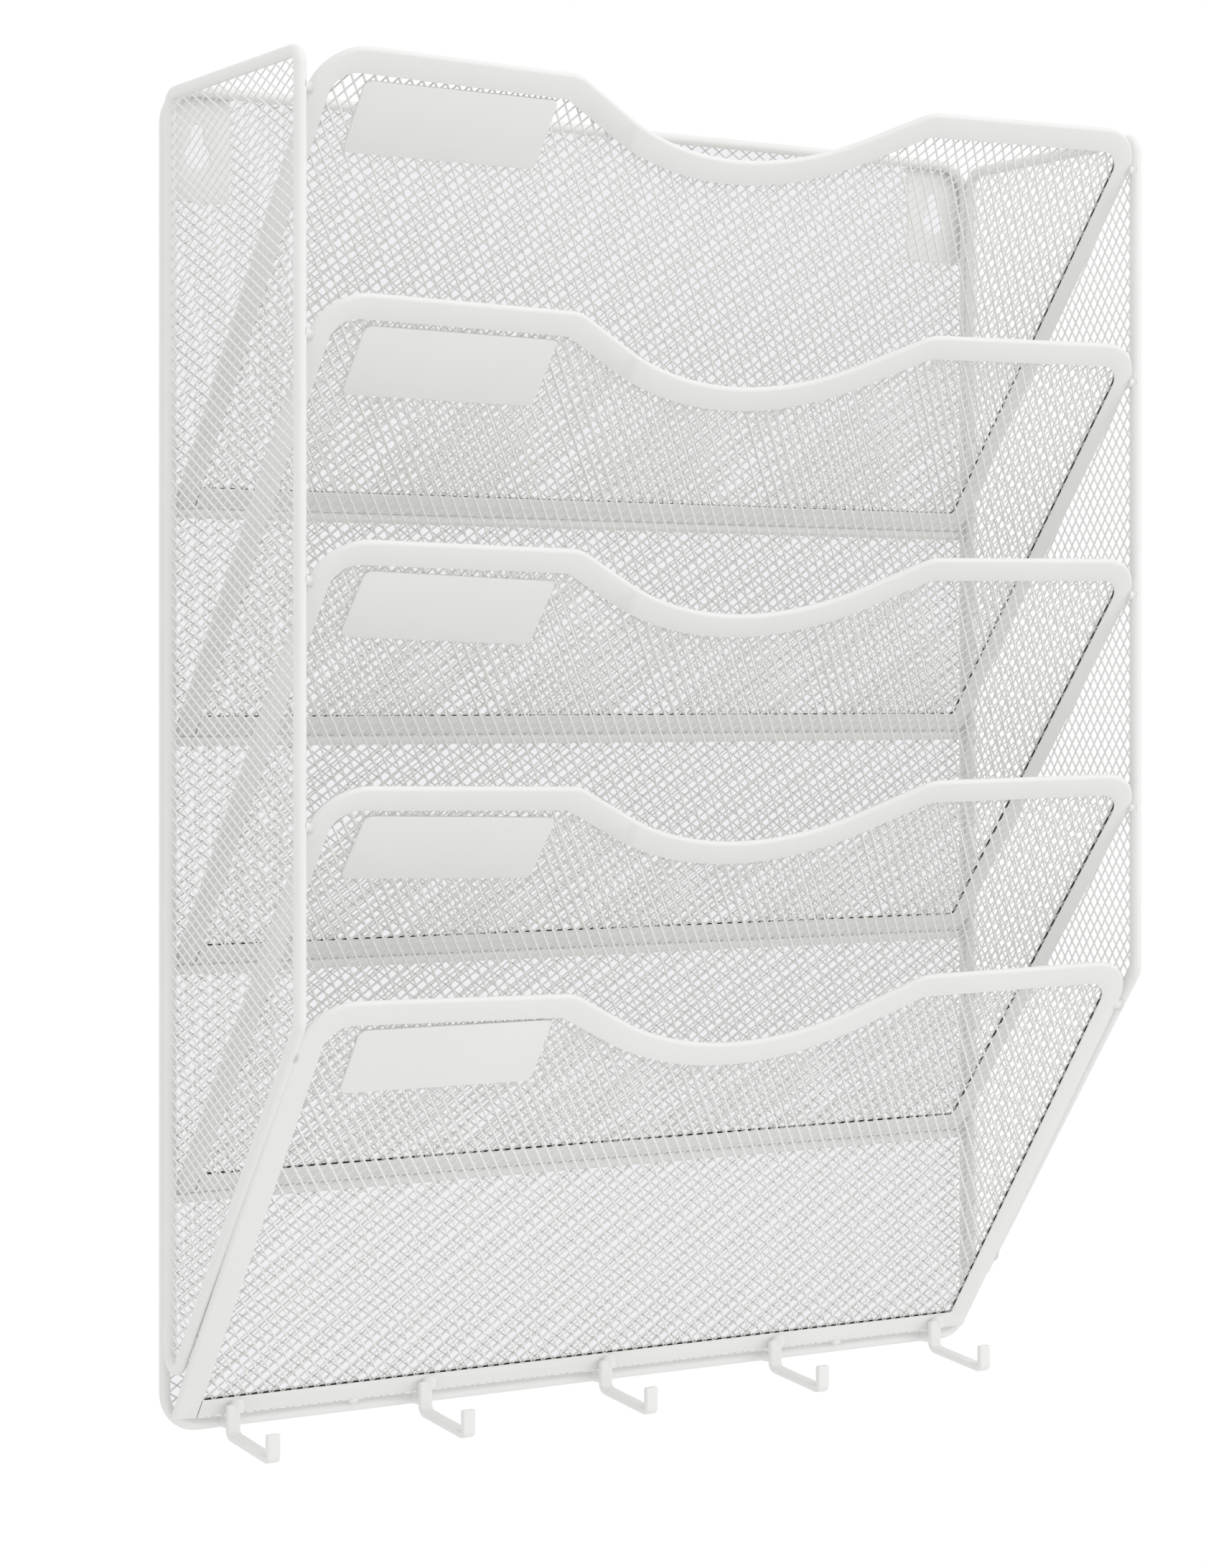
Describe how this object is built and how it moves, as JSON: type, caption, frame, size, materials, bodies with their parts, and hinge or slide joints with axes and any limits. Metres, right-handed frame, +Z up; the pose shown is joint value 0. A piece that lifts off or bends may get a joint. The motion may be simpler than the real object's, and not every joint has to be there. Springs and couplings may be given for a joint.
{
  "type": "wall-mounted document rack",
  "caption": "Wall-hung white steel document rack with tilted mesh pockets one above the other, finger notches, blank label plates and small hooks below.",
  "frame": {"origin": "on the wall plane, midway between the two screws that carry the rack, which sit at the tops of the keyhole slots", "axes": "+Z up, +X to the right as seen from the front, -Y out of the wall towards the front"},
  "size_m": [0.324, 0.1087, 0.4358],
  "materials": {
    "wire_coat": "warm white powder coat on steel wire, semi-gloss",
    "rim_coat": "warm white powder coat on stamped sheet steel, semi-gloss",
    "mesh_coat": "warm white powder coat on expanded steel, semi-gloss",
    "label_coat": "warm white powder coat on a blank plate, semi-gloss"
  },
  "bodies": {
    "root": {"back_frame": "wire_coat", "back_mesh": "mesh_coat", "cross_wire_1": "wire_coat", "cross_wire_2": "wire_coat", "cross_wire_3": "wire_coat", "cross_wire_4": "wire_coat", "hanger_plate_left": "rim_coat", "hanger_plate_right": "rim_coat", "side_frame_left": "wire_coat", "side_frame_right": "wire_coat", "side_mesh_left": "mesh_coat", "side_mesh_right": "mesh_coat", "pocket_rim_1": "rim_coat", "pocket_rim_2": "rim_coat", "pocket_rim_3": "rim_coat", "pocket_rim_4": "rim_coat", "pocket_rim_5": "rim_coat", "pocket_mesh_1": "mesh_coat", "pocket_mesh_2": "mesh_coat", "pocket_mesh_3": "mesh_coat", "pocket_mesh_4": "mesh_coat", "pocket_mesh_5": "mesh_coat", "label_plate_1": "label_coat", "label_plate_2": "label_coat", "label_plate_3": "label_coat", "label_plate_4": "label_coat", "label_plate_5": "label_coat", "hook_1": "wire_coat", "hook_2": "wire_coat", "hook_3": "wire_coat", "hook_4": "wire_coat", "hook_5": "wire_coat"}
  },
  "joints": []
}
